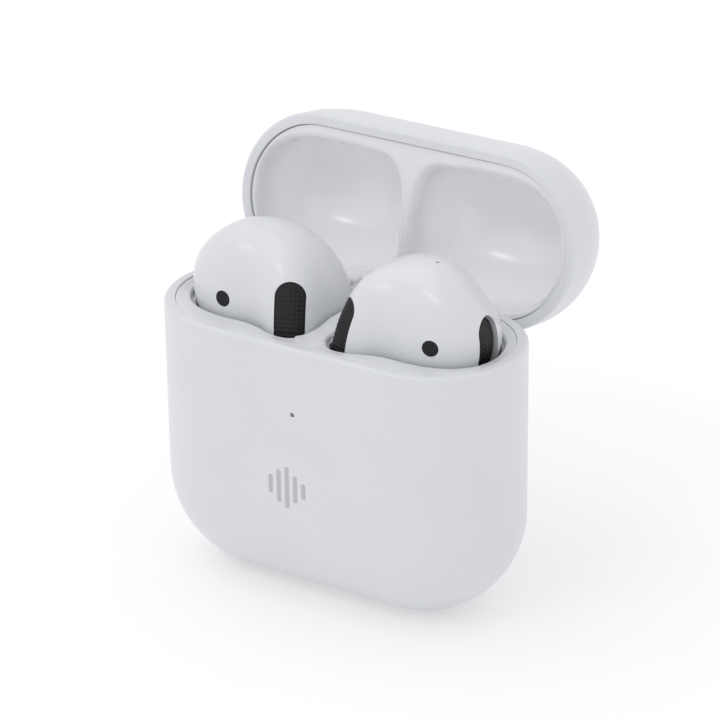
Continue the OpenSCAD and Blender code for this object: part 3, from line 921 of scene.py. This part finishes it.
def liner_profile(angle, reach, middle):
    """One ray of the lid's liner, drawn closed: skirt, rounded edge, level border, soft lip, bowl."""
    dx, dy = math.cos(angle), math.sin(angle)

    def at(radius, z):
        return (BOWL_AT[0] + radius * dx, BOWL_AT[1] + radius * dy, z)

    oval, need = bowl_reach(angle), shadow_reach(BOWL_SHADOW, angle) + 0.3
    mouth = (oval + need + math.hypot(oval - need, 0.5)) / 2
    mouth = min(mouth, reach - (1.05 if middle else 0.5))
    land = reach - mouth
    edge = 0.0 if middle else min(LINER_EDGE, 0.25 * land)
    lip = min(BOWL_LIP, 0.85 * (land - edge))
    points = [at(reach, LINER_Z + 2.0)]
    if middle:
        points += [at(reach, LINER_Z + 1e-3 * k) for k in range(9, 0, -1)]
    else:
        points += [at(reach - i, LINER_Z + d) for i, d in fillet(edge)]
    for k in range(1, 4):
        t = k / 4
        points.append(at((reach - edge) * (1 - t) + (mouth + lip) * t, LINER_Z))
    for k in range(0, 9):
        a = 0.5 * math.pi * k / 8
        points.append(at(mouth + lip * (1 - math.sin(a)), LINER_Z + BOWL_LIP * (1 - math.cos(a))))
    start, depth = LINER_Z + BOWL_LIP, BOWL_DEPTH - BOWL_LIP
    for k in range(1, 41):
        a = 0.5 * math.pi * k / 40
        share = float(smooth_step(k / 18))
        wide = mouth * (1 - share) + (oval + 0.3) * share
        points.append(at(wide * max(math.cos(a) ** 0.9, 0.004), start + depth * math.sin(a) ** 0.9))
    return points


def lid_liner():
    """The lid's liner with its two bowls, notched at the back for the hinge."""
    obj = dished("lid_lining", BOWL_AT, INSET, LINER_NOTCH, liner_profile, -SHEET, LINER_WHITE)
    return swing_open(obj)


# ---- printed mark -------------------------------------------------------------------------------

MARK_AT = (-1.4, 17.1)
MARK_BARS = (2.6, 4.6, 5.8, 3.8, 2.2)


def printed_mark():
    """A generic mark on the front: five upright bars with round ends, in thin ink."""
    verts, faces = [], []
    bar_w, pitch, ink = 0.62, 1.22, 0.02
    for i, height in enumerate(MARK_BARS):
        x = MARK_AT[0] + pitch * (i - 2)
        outline = [(x - v, MARK_AT[1] + u) for u, v in oblong(height, bar_w, 12)]
        start = len(verts)
        count = len(outline)
        verts += [(px, -HALF_D + 0.01, pz) for px, pz in outline]
        verts += [(px, -HALF_D - ink, pz) for px, pz in outline]
        faces.append(tuple(start + k for k in range(count)))
        faces.append(tuple(start + count + k for k in range(count)))
        for k in range(count):
            n = (k + 1) % count
            faces.append((start + k, start + n, start + count + n, start + count + k))
    return make_object("printed_mark", verts, faces, MARK_GREY, 30)


# ---- put together -------------------------------------------------------------------------------


def assemble(piece, body, slot, *nodes):
    """Rides a piece on its body, in place of CAD nodes."""
    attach(piece, body)
    if nodes:
        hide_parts(*nodes)
    return piece


assemble(base_casing(), "base", "shell_white", "base_shell")
assemble(lid_casing(), "lid", "shell_white", "lid_shell")
assemble(well_frame(), "base", "frame_white", "inner_frame")
assemble(lid_liner(), "lid", "liner_white", "lid_liner")
assemble(printed_mark(), "base", "black_plastic")
for side in SIDES:
    earbud(side)

CAD_LOOKS = {
    "shell_white": SHELL_WHITE, "frame_white": FRAME_WHITE, "liner_white": LINER_WHITE,
    "bud_white": BUD_WHITE,
    "mesh_black": MESH_BLACK, "window_black": WINDOW_BLACK, "plated_steel": STEEL, "screw_steel": SCREW,
    "nickel": NICKEL, "gold": GOLD, "black_plastic": RESIN, "circuit_board": BOARD, "flex_amber": RIBBON,
    "foil": FOIL, "lead_red": RED, "lead_black": BLACK, "plunger_red": RED, "led_yellow": PHOSPHOR,
    "lens_clear": SMOKED,
}
SLOT_OF = {part["node"]: part["material_slot"] for part in frame["record"]["subparts"]}
for node, obj in frame["nodes"].items():
    obj.data.materials.clear()
    obj.data.materials.append(CAD_LOOKS[SLOT_OF[node]])

# ---- stage, light and camera --------------------------------------------------------------------


# The photograph's ground is nearly free of shadow, so the floor glows a little
FLOOR_GLOW = 0.32


def floor():
    """A pale floor, far wider than the view."""
    half = 6.0
    mesh = bpy.data.meshes.new("floor")
    corners = [(-half, -half, 0), (half, -half, 0), (half, half, 0), (-half, half, 0)]
    mesh.from_pydata(corners, [], [(0, 1, 2, 3)])
    obj = bpy.data.objects.new("floor", mesh)
    bpy.context.scene.collection.objects.link(obj)
    material, nodes, links, shader = new_material("floor_white")
    tone = spread(nodes, links, noise(nodes, links, 3, 2), 0.0, 1.0)
    links.new(blend_colours(nodes, links, tone, (0.66, 0.66, 0.66), (0.67, 0.67, 0.67)),
              shader.inputs["Base Color"])
    shader.inputs["Roughness"].default_value = 0.7
    shader.inputs["Specular IOR Level"].default_value = 0.2
    shader.inputs["Emission Color"].default_value = (1, 1, 1, 1)
    shader.inputs["Emission Strength"].default_value = FLOOR_GLOW
    mesh.materials.append(material)


def softbox(name, place_at, target, size, power):
    """A square area light aimed at a point. Metres and watts."""
    light = bpy.data.lights.new(name, "AREA")
    light.shape = "RECTANGLE"
    light.size, light.size_y = size
    light.energy = power
    obj = bpy.data.objects.new(name, light)
    obj.location = place_at
    obj.rotation_euler = (Vector(target) - Vector(place_at)).to_track_quat("-Z", "Y").to_euler()
    bpy.context.scene.collection.objects.link(obj)


def sky(strength):
    """An even, slightly cool surrounding."""
    world = bpy.data.worlds.new("studio")
    world.use_nodes = True
    world.node_tree.nodes["Background"].inputs["Color"].default_value = (0.975, 0.98, 1.0, 1)
    world.node_tree.nodes["Background"].inputs["Strength"].default_value = strength
    bpy.context.scene.world = world


def camera():
    """The photograph's view: a long lens from the right, looking down."""
    azimuth, elevation, roll = 32.564, 25.163, -0.790
    data = bpy.data.cameras.new("camera")
    data.lens, data.sensor_width = 165.98, 36.0
    data.clip_start, data.clip_end = 0.01, 20
    obj = bpy.data.objects.new("camera", data)
    a, e = math.radians(azimuth), math.radians(elevation)
    back = Vector((math.sin(a) * math.cos(e), -math.cos(a) * math.cos(e), math.sin(e)))
    aim = Vector((-0.00142, 0.00593, 0.02774))
    turn = back.to_track_quat("Z", "Y").to_matrix() @ Matrix.Rotation(math.radians(roll), 3, "Z")
    obj.matrix_world = Matrix.Translation(aim + back * 0.42548) @ turn.to_4x4()
    bpy.context.scene.collection.objects.link(obj)
    bpy.context.scene.camera = obj


floor()
softbox("overhead", (-0.60, 0.0, 1.1), (0, 0, 0.03), (0.9, 0.9), 1.6)
softbox("strip", (-0.25, -0.72, 1.0), (0, 0, 0.04), (0.55, 0.16), 1.0)
sky(0.94)
camera()
bpy.context.scene.view_settings.view_transform = "Standard"
